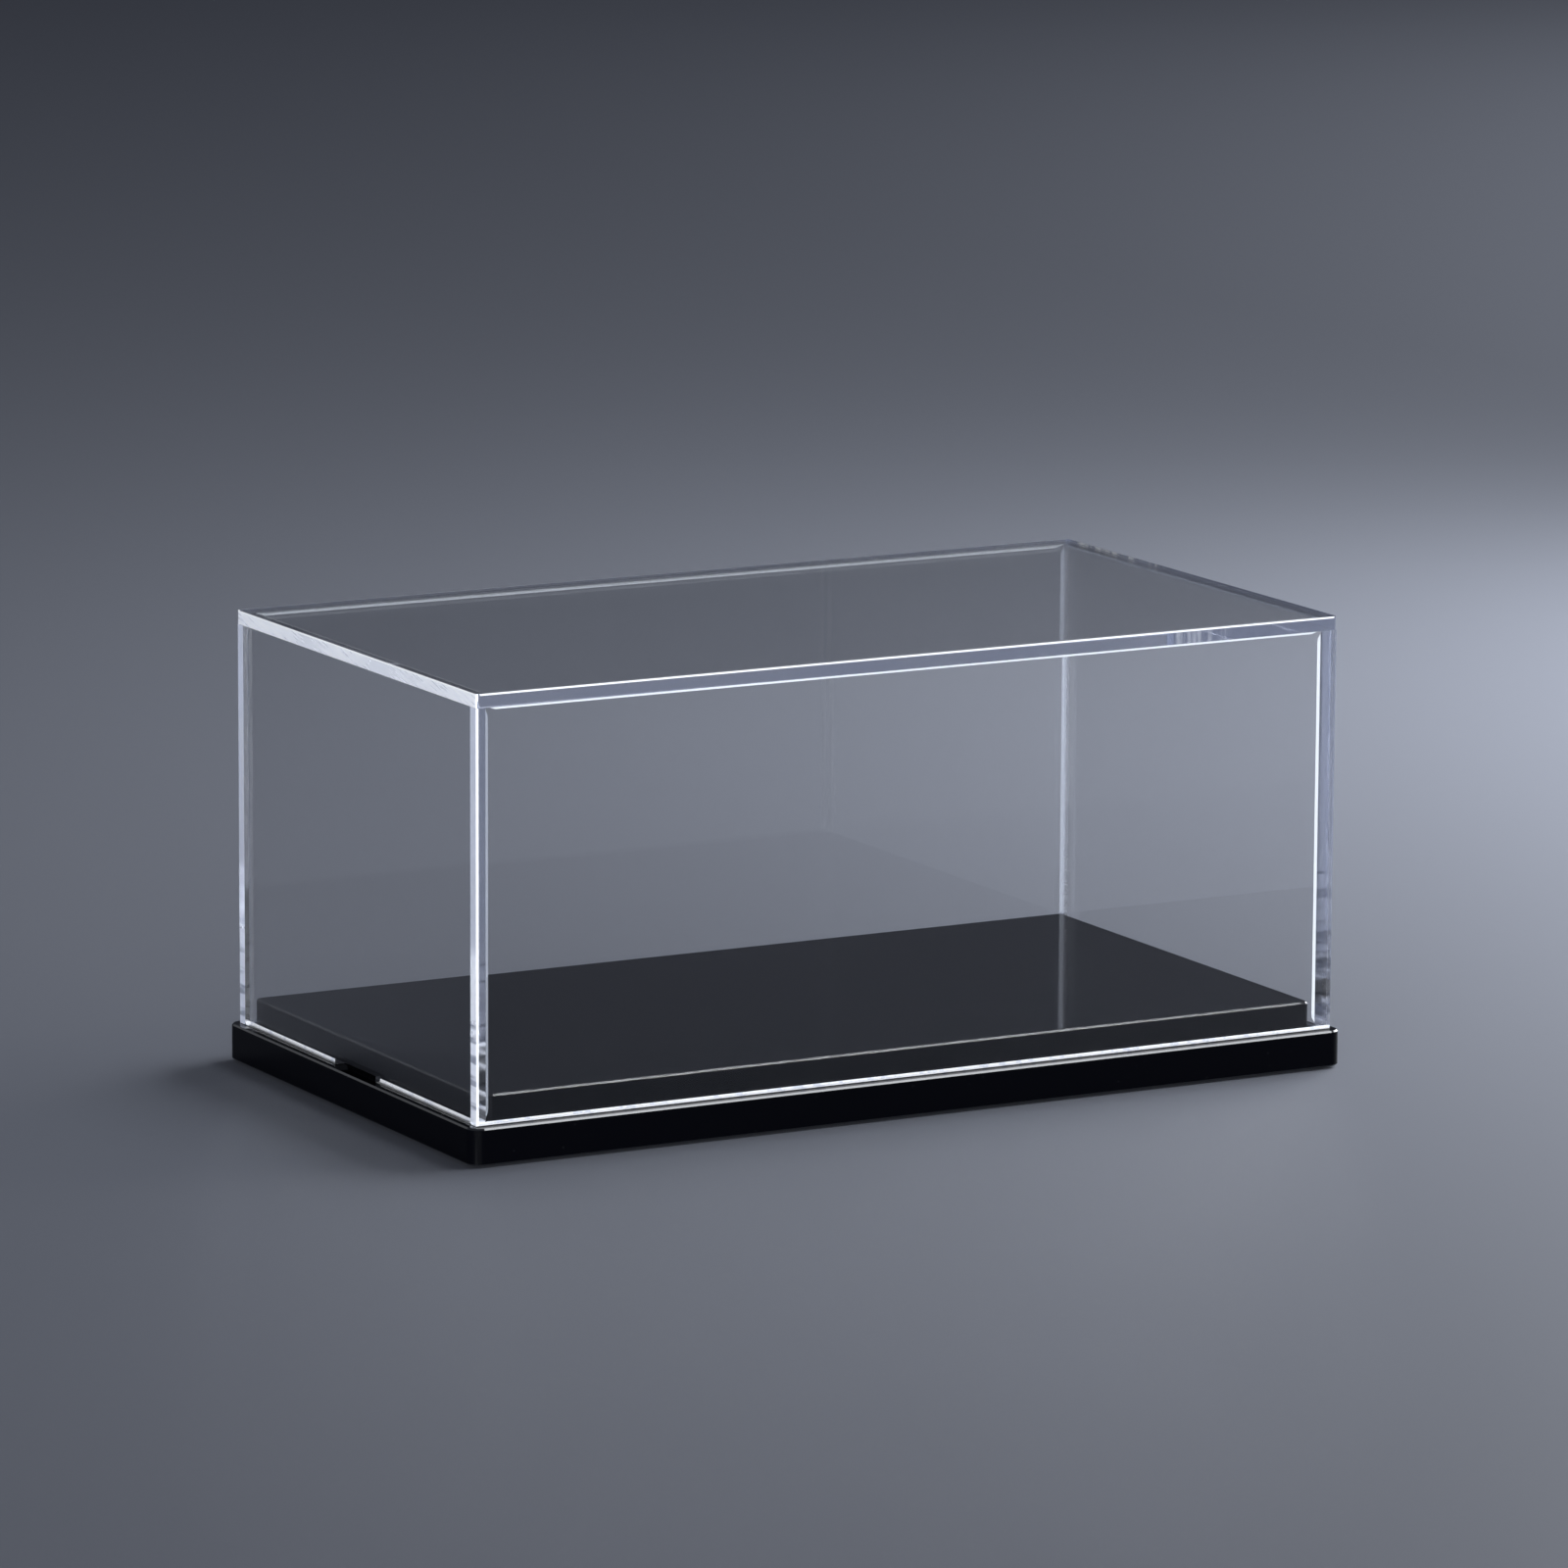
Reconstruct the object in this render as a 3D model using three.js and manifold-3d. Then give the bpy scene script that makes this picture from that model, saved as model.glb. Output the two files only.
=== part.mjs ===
// Clear acrylic display case: a cemented five-panel cover that lifts off a black two-tier base.
// Millimetres, +Z up. The origin lies on the surface that the case stands on, under its middle.
// +X runs along the case, -Y is the front.
import * as THREE from "three";
import { mergeVertices } from "three/addons/utils/BufferGeometryUtils.js";
import Module from "manifold-3d";

const wasm = await Module();
wasm.setup();

// Cover, over its outside faces
const coverLength = 210;
const coverWidth = 116;
const coverHeight = 92;
const wallSheet = 3;
const topSheet = 3;
const topCornerRadius = 0.8;
const sheetEdgeBreak = 0.25; // chamfer round every clear sheet
const cementFilm = 0.05; // cement between two bonded faces
const seatGap = 0.1; // hairline between the cover's lower edge and the base

// Shallow slots in the lower edge of both end panels, where a fingernail lifts the cover
const slotLength = 21;
const slotDepth = 2.4;

// Cement squeezed out into the cover's inside corners
const beadLeg = 0.9;
const beadLip = 0.12;
const beadFootGap = 1.5; // each upright bead stops this far above the cover's lower edge

// Base plate
const baseMargin = 2; // ledge that shows all round the cover
const baseThickness = 8;
const baseCornerRadius = 3;
const baseEdgeBreak = 0.35; // chamfer

// Plinth that centres the cover
const plinthGap = 0.8; // to the cover's walls
const plinthSeatGap = 0.05; // hairline between the two black slabs
const plinthThickness = 6;
const plinthCornerRadius = 1.5;
const plinthEdgeBreak = 0.4; // chamfer

// Countersunk socket screws that hold the plinth from below
const screwInset = 20; // from the plinth's sides
const screwShankRadius = 1.5;
const screwHeadRadius = 2.8;
const screwHeadHeight = 1.7;
const screwHeadRim = 0.25;
const screwTipChamfer = 0.4;
const screwSocketRadius = 1.15; // over the corners of the hexagon
const screwSocketDepth = 1;
const screwSink = 0.15; // head below the base's underside
const screwClearance = 0.15;
const plinthFloor = 1.2; // left above each blind hole
const screwEndGap = 0.6;

// Round non-slip pads set in pockets under the base
const padRadius = 5;
const padThickness = 2;
const padProud = 0.5;
const padEdgeBreak = 0.3;
const padInset = 13; // from the base's sides
const padClearance = 0.15;
const padGlue = 0.05;

// Smoothness of round shapes
const cornerSteps = 8;
const beadArcSteps = 6;
const turnedSteps = 32;

// How far a cutting shape runs past the face it cuts, and how close two points are one
const overcut = 1;
const mergeDistance = 1e-4;

// Levels and lengths that follow from the sizes above
const baseUnderside = padProud;
const baseTop = baseUnderside + baseThickness;
const baseLength = coverLength + 2 * baseMargin;
const baseWidth = coverWidth + 2 * baseMargin;
const plinthUnderside = baseTop + plinthSeatGap;
const plinthLength = coverLength - 2 * (wallSheet + plinthGap);
const plinthWidth = coverWidth - 2 * (wallSheet + plinthGap);
const coverFoot = baseTop + seatGap;
const ceiling = coverFoot + coverHeight - topSheet;
const wallHeight = ceiling - cementFilm - coverFoot;
const insideLength = coverLength - 2 * wallSheet;
const insideWidth = coverWidth - 2 * wallSheet;

// The four corners, going round, with the quarter turns that aim a front left corner's piece inwards
const corners = [
  { place: "front_left", x: -1, y: -1, quarterTurns: 0 },
  { place: "front_right", x: 1, y: -1, quarterTurns: 1 },
  { place: "back_right", x: 1, y: 1, quarterTurns: 2 },
  { place: "back_left", x: -1, y: 1, quarterTurns: 3 },
];

const clearAcrylic = new THREE.MeshStandardMaterial({
  color: 0xe9eef5, roughness: 0.04, metalness: 0, transparent: true, opacity: 0.22,
});
const curedCement = new THREE.MeshStandardMaterial({
  color: 0xf4f7fb, roughness: 0.12, metalness: 0, transparent: true, opacity: 0.4,
});
const blackAcrylic = new THREE.MeshStandardMaterial({ color: 0x08090c, roughness: 0.16, metalness: 0 });
const zincSteel = new THREE.MeshStandardMaterial({ color: 0xa9adb3, roughness: 0.35, metalness: 1 });
const darkSilicone = new THREE.MeshStandardMaterial({ color: 0x1b1c1f, roughness: 0.8, metalness: 0 });

// Boolean cuts on closed geometry
function solidOf(geometry) {
  const bare = geometry.clone();
  bare.deleteAttribute("normal");
  bare.deleteAttribute("uv");
  const merged = mergeVertices(bare, mergeDistance);
  return new wasm.Manifold(new wasm.Mesh({
    numProp: 3,
    vertProperties: merged.attributes.position.array,
    triVerts: new Uint32Array(merged.index.array),
  }));
}

function geometryOf(solid) {
  const mesh = solid.getMesh();
  const geometry = new THREE.BufferGeometry();
  geometry.setAttribute("position", new THREE.BufferAttribute(mesh.vertProperties, 3));
  geometry.setIndex(new THREE.BufferAttribute(mesh.triVerts, 1));
  geometry.computeVertexNormals();
  return geometry;
}

function cut(geometry, tools) {
  const solid = tools.reduce((rest, tool) => rest.subtract(solidOf(tool)), solidOf(geometry));
  return geometryOf(solid);
}

// Outlines, drawn about the origin
function roundedRectangle(length, width, radius) {
  const x = length / 2 - radius;
  const y = width / 2 - radius;
  const outline = new THREE.Shape();
  outline.absarc(x, y, radius, 0, Math.PI / 2);
  outline.absarc(-x, y, radius, Math.PI / 2, Math.PI);
  outline.absarc(-x, -y, radius, Math.PI, 1.5 * Math.PI);
  outline.absarc(x, -y, radius, 1.5 * Math.PI, 2 * Math.PI);
  return outline;
}

function rectangle(left, bottom, right, top) {
  return new THREE.Shape([
    new THREE.Vector2(left, bottom),
    new THREE.Vector2(right, bottom),
    new THREE.Vector2(right, top),
    new THREE.Vector2(left, top),
  ]);
}

// A slab on z = 0. Its outline is drawn smaller by edge, which the chamfered edges add again.
function slab(outline, thickness, edge) {
  const geometry = new THREE.ExtrudeGeometry(outline, {
    depth: thickness - 2 * edge,
    bevelThickness: edge,
    bevelSize: edge,
    bevelSegments: 1,
    curveSegments: cornerSteps,
  });
  return geometry.translate(0, 0, edge);
}

// A turned solid about Z from [radius, height] points that start and end on the axis, rising
function turned(profile) {
  const points = profile.map(([radius, height]) => new THREE.Vector2(radius, height));
  return new THREE.LatheGeometry(points, turnedSteps).rotateX(Math.PI / 2);
}

function piece(name, geometry, material) {
  const mesh = new THREE.Mesh(geometry, material);
  mesh.name = name;
  return mesh;
}

// Base

function padPocket() {
  const radius = padRadius + padClearance;
  const depth = padThickness - padProud + padGlue;
  return turned([[0, -overcut], [radius, -overcut], [radius, depth], [0, depth]]);
}

function screwLength() {
  return baseThickness - screwSink + plinthSeatGap + plinthThickness - plinthFloor - screwEndGap;
}

function screwSolid() {
  const length = screwLength();
  const profile = [
    [0, 0],
    [screwHeadRadius, 0],
    [screwHeadRadius, screwHeadRim],
    [screwShankRadius, screwHeadHeight],
    [screwShankRadius, length - screwTipChamfer],
    [screwShankRadius - screwTipChamfer, length],
    [0, length],
  ];
  const socket = new THREE.CylinderGeometry(screwSocketRadius, screwSocketRadius, 2 * screwSocketDepth, 6);
  return cut(turned(profile), [socket.rotateX(Math.PI / 2)]);
}

// Countersunk hole for a screw, measured up from the base's underside
function screwHole() {
  const head = screwHeadRadius + screwClearance;
  const shank = screwShankRadius + screwClearance;
  const past = baseThickness + overcut;
  return turned([
    [0, -overcut],
    [head, -overcut],
    [head, screwSink + screwHeadRim],
    [shank, screwSink + screwHeadHeight],
    [shank, past],
    [0, past],
  ]);
}

function tappedHole() {
  const radius = screwShankRadius + screwClearance;
  const depth = plinthThickness - plinthFloor;
  return turned([[0, -overcut], [radius, -overcut], [radius, depth], [0, depth]]);
}

function makeBase() {
  const base = new THREE.Group();
  const padX = baseLength / 2 - padInset;
  const padY = baseWidth / 2 - padInset;
  const screwX = plinthLength / 2 - screwInset;
  const screwY = plinthWidth / 2 - screwInset;

  const plateOutline = roundedRectangle(
    baseLength - 2 * baseEdgeBreak,
    baseWidth - 2 * baseEdgeBreak,
    baseCornerRadius - baseEdgeBreak,
  );
  const plateCuts = corners.flatMap(({ x, y }) => [
    padPocket().translate(x * padX, y * padY, 0),
    screwHole().translate(x * screwX, y * screwY, 0),
  ]);
  const plateSlab = slab(plateOutline, baseThickness, baseEdgeBreak);
  const plate = piece("base_plate", cut(plateSlab, plateCuts), blackAcrylic);
  plate.position.z = baseUnderside;
  base.add(plate);

  const plinthOutline = roundedRectangle(
    plinthLength - 2 * plinthEdgeBreak,
    plinthWidth - 2 * plinthEdgeBreak,
    plinthCornerRadius - plinthEdgeBreak,
  );
  const plinthCuts = corners.map(({ x, y }) => tappedHole().translate(x * screwX, y * screwY, 0));
  const plinthSlab = slab(plinthOutline, plinthThickness, plinthEdgeBreak);
  const plinth = piece("plinth", cut(plinthSlab, plinthCuts), blackAcrylic);
  plinth.position.z = plinthUnderside;
  base.add(plinth);

  const padProfile = [
    [0, 0],
    [padRadius - padEdgeBreak, 0],
    [padRadius, padEdgeBreak],
    [padRadius, padThickness],
    [0, padThickness],
  ];
  for (const { place, x, y } of corners) {
    const screw = piece(`plinth_screw_${place}`, screwSolid(), zincSteel);
    screw.position.set(x * screwX, y * screwY, baseUnderside + screwSink);
    const pad = piece(`foot_pad_${place}`, turned(padProfile), darkSilicone);
    pad.position.set(x * padX, y * padY, 0);
    base.add(screw, pad);
  }
  return base;
}

// Cover

// A sheet standing on its lower edge: drawn in X and Z, its thickness runs from y = 0 to -wallSheet.
function standingSheet(name, outline) {
  const sheet = piece(name, slab(outline, wallSheet, sheetEdgeBreak), clearAcrylic);
  sheet.rotation.x = Math.PI / 2;
  return sheet;
}

function longWallOutline() {
  const x = coverLength / 2 - sheetEdgeBreak;
  return rectangle(-x, sheetEdgeBreak, x, wallHeight - sheetEdgeBreak);
}

function endWallOutline() {
  const x = insideWidth / 2 - cementFilm - sheetEdgeBreak;
  const low = sheetEdgeBreak;
  const slotX = slotLength / 2 + sheetEdgeBreak;
  const slotTop = slotDepth + sheetEdgeBreak;
  const high = wallHeight - sheetEdgeBreak;
  const points = [
    [-x, low], [-slotX, low], [-slotX, slotTop], [slotX, slotTop],
    [slotX, low], [x, low], [x, high], [-x, high],
  ];
  return new THREE.Shape(points.map(([px, pz]) => new THREE.Vector2(px, pz)));
}

// Section of a cement bead in a corner that opens towards +X and +Y: two legs and a hollow face
function beadSection() {
  const section = new THREE.Shape();
  section.moveTo(0, 0);
  section.lineTo(beadLeg, 0);
  section.lineTo(beadLeg, beadLip);
  section.absellipse(
    beadLeg, beadLeg, beadLeg - beadLip, beadLeg - beadLip, 1.5 * Math.PI, Math.PI, true);
  section.lineTo(0, beadLeg);
  return section;
}

function beadGeometry(length) {
  const geometry = new THREE.ExtrudeGeometry(beadSection(), {
    depth: length, bevelEnabled: false, curveSegments: beadArcSteps,
  });
  return geometry.translate(0, 0, -length / 2);
}

// An upright bead in a corner between two walls
function uprightBead({ place, x, y, quarterTurns }) {
  const top = ceiling - 2 * cementFilm - beadLeg;
  const bottom = coverFoot + beadFootGap;
  const bead = piece(`${place}_bead`, beadGeometry(top - bottom), curedCement);
  bead.rotation.z = quarterTurns * Math.PI / 2;
  bead.position.set(
    x * (insideLength / 2 - cementFilm), y * (insideWidth / 2 - cementFilm), (top + bottom) / 2);
  return bead;
}

// A bead under the top sheet, made for the front wall and turned round to its own wall
function ceilingBead(name, length, wallDistance, quarterTurns) {
  const geometry = beadGeometry(length).rotateY(-Math.PI / 2).rotateX(-Math.PI / 2);
  const bead = piece(name, geometry, curedCement);
  bead.position.set(0, cementFilm - wallDistance, ceiling - cementFilm);
  const side = new THREE.Group();
  side.rotation.z = quarterTurns * Math.PI / 2;
  side.add(bead);
  return side;
}

function makeCover() {
  const cover = new THREE.Group();

  const topOutline = roundedRectangle(
    coverLength - 2 * sheetEdgeBreak,
    coverWidth - 2 * sheetEdgeBreak,
    topCornerRadius - sheetEdgeBreak,
  );
  const top = piece("top_panel", slab(topOutline, topSheet, sheetEdgeBreak), clearAcrylic);
  top.position.z = ceiling;
  cover.add(top);

  const front = standingSheet("front_panel", longWallOutline());
  front.position.set(0, -coverWidth / 2 + wallSheet, coverFoot);
  const back = standingSheet("back_panel", longWallOutline());
  back.position.set(0, coverWidth / 2, coverFoot);
  cover.add(front, back);

  // The end panels stand between the front and back panels.
  const ends = [
    { name: "left_panel", x: -coverLength / 2 },
    { name: "right_panel", x: coverLength / 2 - wallSheet },
  ];
  for (const { name, x } of ends) {
    const end = new THREE.Group();
    end.rotation.z = Math.PI / 2;
    end.position.set(x, 0, coverFoot);
    end.add(standingSheet(name, endWallOutline()));
    cover.add(end);
  }

  const longBead = insideLength - 2 * cementFilm;
  const shortBead = insideWidth - 2 * (2 * cementFilm + beadLeg);
  cover.add(
    ceilingBead("top_front_bead", longBead, insideWidth / 2, 0),
    ceilingBead("top_right_bead", shortBead, insideLength / 2, 1),
    ceilingBead("top_back_bead", longBead, insideWidth / 2, 2),
    ceilingBead("top_left_bead", shortBead, insideLength / 2, 3),
  );
  for (const corner of corners) cover.add(uprightBead(corner));
  return cover;
}

const displayCase = new THREE.Group();
displayCase.add(makeBase(), makeCover());

export default displayCase;
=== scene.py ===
import math
import bmesh
import bpy
from mathutils import Matrix, Vector


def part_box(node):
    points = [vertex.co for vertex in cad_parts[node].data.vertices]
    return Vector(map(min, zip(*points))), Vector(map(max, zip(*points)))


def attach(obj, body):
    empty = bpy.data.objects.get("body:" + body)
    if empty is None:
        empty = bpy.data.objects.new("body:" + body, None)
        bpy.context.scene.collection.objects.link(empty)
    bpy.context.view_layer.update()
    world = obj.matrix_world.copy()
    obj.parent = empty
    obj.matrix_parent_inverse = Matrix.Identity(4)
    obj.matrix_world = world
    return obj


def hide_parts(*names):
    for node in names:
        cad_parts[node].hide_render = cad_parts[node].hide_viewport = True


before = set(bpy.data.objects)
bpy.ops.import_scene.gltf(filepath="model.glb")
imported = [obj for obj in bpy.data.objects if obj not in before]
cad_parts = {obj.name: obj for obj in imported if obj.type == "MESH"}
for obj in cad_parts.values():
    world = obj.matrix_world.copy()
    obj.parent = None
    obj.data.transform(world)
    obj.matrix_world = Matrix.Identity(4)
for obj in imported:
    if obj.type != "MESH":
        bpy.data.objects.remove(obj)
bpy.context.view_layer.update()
scene = bpy.context.scene
xAxis, yAxis, zAxis = Vector((1, 0, 0)), Vector((0, 1, 0)), Vector((0, 0, 1))
print("frame loaded:", len(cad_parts), "nodes")


# camera at the photograph's viewing angle, image 1600 x 1600
cameraView = {
    "place": (-0.9655, -1.7655, 0.4483),
    "azimuth": -28.66,  # degrees, turned about Z from looking along +Y
    "elevation": 10.85,  # degrees above the horizon
    "roll": 0.29,
    "lens": 215.0,
    "sensor": 36.0,
    "nearest": 0.05,
    "farthest": 100.0,
}


def makeCamera(view):
    data = bpy.data.cameras.new("photoCamera")
    data.lens = view["lens"]
    data.sensor_width = view["sensor"]
    data.clip_start = view["nearest"]
    data.clip_end = view["farthest"]
    camera = bpy.data.objects.new("photoCamera", data)
    scene.collection.objects.link(camera)
    turn = Matrix.Rotation(math.radians(view["azimuth"]), 4, "Z")
    tilt = Matrix.Rotation(math.radians(90.0 - view["elevation"]), 4, "X")
    roll = Matrix.Rotation(math.radians(view["roll"]), 4, "Z")
    camera.matrix_world = Matrix.Translation(view["place"]) @ turn @ tilt @ roll
    scene.camera = camera


makeCamera(cameraView)
print("camera placed")


# node helpers
def newMaterial(name):
    material = bpy.data.materials.new(name)
    material.use_nodes = True
    tree = material.node_tree
    return material, tree, tree.nodes["Principled BSDF"]


def newTree(name, kind, inputs, outputs):
    tree = bpy.data.node_groups.new(name, kind)
    for label, socketKind, value in inputs:
        socket = tree.interface.new_socket(label, in_out="INPUT", socket_type="NodeSocket" + socketKind)
        if value is not None:
            socket.default_value = value
    for label, socketKind in outputs:
        tree.interface.new_socket(label, in_out="OUTPUT", socket_type="NodeSocket" + socketKind)
    return tree, tree.nodes.new("NodeGroupInput").outputs, tree.nodes.new("NodeGroupOutput").inputs


def addNode(tree, kind, **values):
    node = tree.nodes.new(kind)
    for key, value in values.items():
        setattr(node, key, value)
    return node


def setInputs(node, **values):
    for key, value in values.items():
        node.inputs[key.replace("_", " ")].default_value = value
    return node


# a socket is linked, a plain value is set
def feed(tree, value, socket):
    if isinstance(value, bpy.types.NodeSocket):
        tree.links.new(value, socket)
    elif value is not None:
        socket.default_value = value


def mathNode(tree, operation, first, second=None, third=None):
    node = addNode(tree, "ShaderNodeMath", operation=operation)
    for index, value in enumerate((first, second, third)):
        feed(tree, value, node.inputs[index])
    return node.outputs[0]


def rangeNode(tree, value, low, high):
    node = setInputs(addNode(tree, "ShaderNodeMapRange"), From_Min=low, From_Max=high)
    tree.links.new(value, node.inputs["Value"])
    return node.outputs[0]


def noiseNode(tree, vector, scale, detail, roughness=0.5):
    node = setInputs(addNode(tree, "ShaderNodeTexNoise"), Detail=detail, Roughness=roughness)
    tree.links.new(vector, node.inputs["Vector"])
    feed(tree, scale, node.inputs["Scale"])
    return node.outputs["Fac"]


def mappedNode(tree, vector, kind, rotation, scale):
    node = addNode(tree, "ShaderNodeMapping", vector_type=kind)
    setInputs(node, Rotation=rotation, Scale=scale)
    tree.links.new(vector, node.inputs["Vector"])
    return node.outputs["Vector"]


def spotNode(tree, x, y, z=None):
    node = addNode(tree, "ShaderNodeCombineXYZ")
    for index, value in enumerate((x, y, z)):
        feed(tree, value, node.inputs[index])
    return node.outputs[0]


def addTone(tree, mask, first, second):
    tone = addNode(tree, "ShaderNodeMix", data_type="RGBA")
    tree.links.new(mask, tone.inputs[0])
    feed(tree, first, tone.inputs[6])
    feed(tree, second, tone.inputs[7])
    return tone.outputs[2]


def addBump(tree, height, shader, look):
    bump = setInputs(addNode(tree, "ShaderNodeBump"), Strength=look["bump"], Distance=look["bumpDepth"])
    tree.links.new(height, bump.inputs["Height"])
    tree.links.new(bump.outputs["Normal"], shader.inputs["Normal"])


def objectPlace(tree):
    return addNode(tree, "ShaderNodeTexCoord").outputs["Object"]


# handling marks, shared by every polished surface: faint smears, hairline scratches and specks
handling = {
    "smearDetail": 4.0,
    "smearGrain": 0.6,
    "smearRange": (0.52, 0.8),
    "scratchTurn": (0.4, 0.9, 0.6),
    "scratchStretch": (18.0, 900.0, 18.0),
    "scratchDetail": 2.0,
    "scratchRange": (0.68, 0.76),
    "specksPerMetre": 260.0,
    "speckRange": (0.09, 0.05),
}


def makeHandlingMarks(look):
    tree, given, result = newTree(
        "handlingMarks", "ShaderNodeTree",
        [
            ("Vector", "Vector", (0, 0, 0)),
            ("Smear Size", "Float", 22.0),
            ("Least Roughness", "Float", 0.0),
            ("Smear Roughness", "Float", 0.05),
            ("Scratch Roughness", "Float", 0.1),
        ],
        [("Roughness", "Float"), ("Height", "Float"), ("Specks", "Float")],
    )
    place = given["Vector"]
    smear = noiseNode(tree, place, given["Smear Size"], look["smearDetail"], look["smearGrain"])
    smearMask = rangeNode(tree, smear, *look["smearRange"])
    stretched = mappedNode(tree, place, "POINT", look["scratchTurn"], look["scratchStretch"])
    scratch = noiseNode(tree, stretched, 1.0, look["scratchDetail"])
    scratchMask = rangeNode(tree, scratch, *look["scratchRange"])
    speck = setInputs(addNode(tree, "ShaderNodeTexVoronoi"), Scale=look["specksPerMetre"])
    tree.links.new(place, speck.inputs["Vector"])
    speckMask = rangeNode(tree, speck.outputs["Distance"], *look["speckRange"])
    rough = mathNode(tree, "MULTIPLY_ADD", smearMask, given["Smear Roughness"], given["Least Roughness"])
    rough = mathNode(tree, "MULTIPLY_ADD", scratchMask, given["Scratch Roughness"], rough)
    tree.links.new(rough, result["Roughness"])
    tree.links.new(mathNode(tree, "SUBTRACT", smear, scratchMask), result["Height"])
    tree.links.new(speckMask, result["Specks"])
    return tree


# saw marks on a sheet's edge: slanting streaks in patches, and ticks across it in the dry part at one end
sawing = {
    "streakSlant": (0, 0, 0.26),
    "streakStretch": (14.0, 1.0, 1.0),
    "streaksPerMetre": 1500.0,
    "streakDetail": 3.0,
    "streakGrain": 0.6,
    "streakRange": (0.35, 0.7),
    "patchesPerMetre": 32.0,
    "patchDetail": 1.0,
    "patchRange": (0.36, 0.58),
    "dryWay": (0, 0, -1),  # towards the foot, where no cement ran in
    "dryFrom": -0.033,
    "raggedPerMetre": 260.0,  # the dry part's ragged border
    "raggedDetail": 2.0,
    "raggedReach": 0.012,
    "dryRange": (0.006, 0.002),
    "tickStretch": (1.0, 0.12, 1.0),
    "ticksPerMetre": 420.0,
    "tickDetail": 2.0,
    "tickGrain": 0.6,
    "tickRange": (0.5, 0.62),
}


def makeSawMarks(look):
    tree, given, result = newTree(
        "sawMarks", "ShaderNodeTree",
        [
            ("Run", "Vector", (0, 0, 0)),
            ("Place", "Vector", (0, 0, 0)),
            ("Dry Way", "Vector", look["dryWay"]),
            ("Dry From", "Float", look["dryFrom"]),
            ("Streaks Per Metre", "Float", look["streaksPerMetre"]),
            ("Ticks Per Metre", "Float", look["ticksPerMetre"]),
        ],
        [("Streaks", "Float"), ("Ticks", "Float"), ("Dry", "Float")],
    )
    run = given["Run"]
    slanted = mappedNode(tree, run, "TEXTURE", look["streakSlant"], look["streakStretch"])
    streak = noiseNode(tree, slanted, given["Streaks Per Metre"], look["streakDetail"], look["streakGrain"])
    streakMask = rangeNode(tree, streak, *look["streakRange"])
    patch = noiseNode(tree, run, look["patchesPerMetre"], look["patchDetail"])
    patchMask = rangeNode(tree, patch, *look["patchRange"])
    towards = addNode(tree, "ShaderNodeVectorMath", operation="DOT_PRODUCT")
    tree.links.new(given["Place"], towards.inputs[0])
    tree.links.new(given["Dry Way"], towards.inputs[1])
    before = mathNode(tree, "SUBTRACT", given["Dry From"], towards.outputs["Value"])
    ragged = noiseNode(tree, run, look["raggedPerMetre"], look["raggedDetail"])
    border = mathNode(tree, "MULTIPLY_ADD", ragged, look["raggedReach"], before)
    dry = rangeNode(tree, border, *look["dryRange"])
    across = mappedNode(tree, run, "POINT", (0, 0, 0), look["tickStretch"])
    tick = noiseNode(tree, across, given["Ticks Per Metre"], look["tickDetail"], look["tickGrain"])
    tickMask = rangeNode(tree, tick, *look["tickRange"])
    tree.links.new(mathNode(tree, "MULTIPLY", streakMask, patchMask), result["Streaks"])
    tree.links.new(mathNode(tree, "MULTIPLY", tickMask, dry), result["Ticks"])
    tree.links.new(dry, result["Dry"])
    return tree


handlingMarks = makeHandlingMarks(handling)
sawMarks = makeSawMarks(sawing)


# handling marks at a surface's own size and strength, which also give it its roughness
def addHandling(tree, shader, look):
    marks = addNode(tree, "ShaderNodeGroup", node_tree=handlingMarks)
    setInputs(
        marks, Smear_Size=look["smearSize"], Least_Roughness=look["leastRoughness"],
        Smear_Roughness=look["smearRoughness"], Scratch_Roughness=look["scratchRoughness"],
    )
    tree.links.new(objectPlace(tree), marks.inputs["Vector"])
    tree.links.new(marks.outputs["Roughness"], shader.inputs["Roughness"])
    return marks.outputs


# lamps shine straight through clear acrylic, so that what it covers is lit
def letLampsThrough(tree, shader, tint):
    path = addNode(tree, "ShaderNodeLightPath")
    through = setInputs(addNode(tree, "ShaderNodeBsdfTransparent"), Color=tint)
    mix = addNode(tree, "ShaderNodeMixShader")
    tree.links.new(path.outputs["Is Shadow Ray"], mix.inputs[0])
    tree.links.new(shader.outputs[0], mix.inputs[1])
    tree.links.new(through.outputs[0], mix.inputs[2])
    tree.links.new(mix.outputs[0], tree.nodes["Material Output"].inputs["Surface"])


clearSheet = {
    "colour": (0.992, 0.994, 0.997, 1.0),
    "ior": 1.49,
    "transmission": 1.0,
    "lampTint": (0.955, 0.96, 0.965, 1.0),
    "smearSize": 22.0,
    "leastRoughness": 0.0,
    "smearRoughness": 0.006,
    "scratchRoughness": 0.03,
}


def makeClearSheet(look):
    material, tree, shader = newMaterial("clearSheet")
    setInputs(shader, Base_Color=look["colour"], IOR=look["ior"], Transmission_Weight=look["transmission"])
    addHandling(tree, shader, look)
    letLampsThrough(tree, shader, look["lampTint"])
    return material


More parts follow.
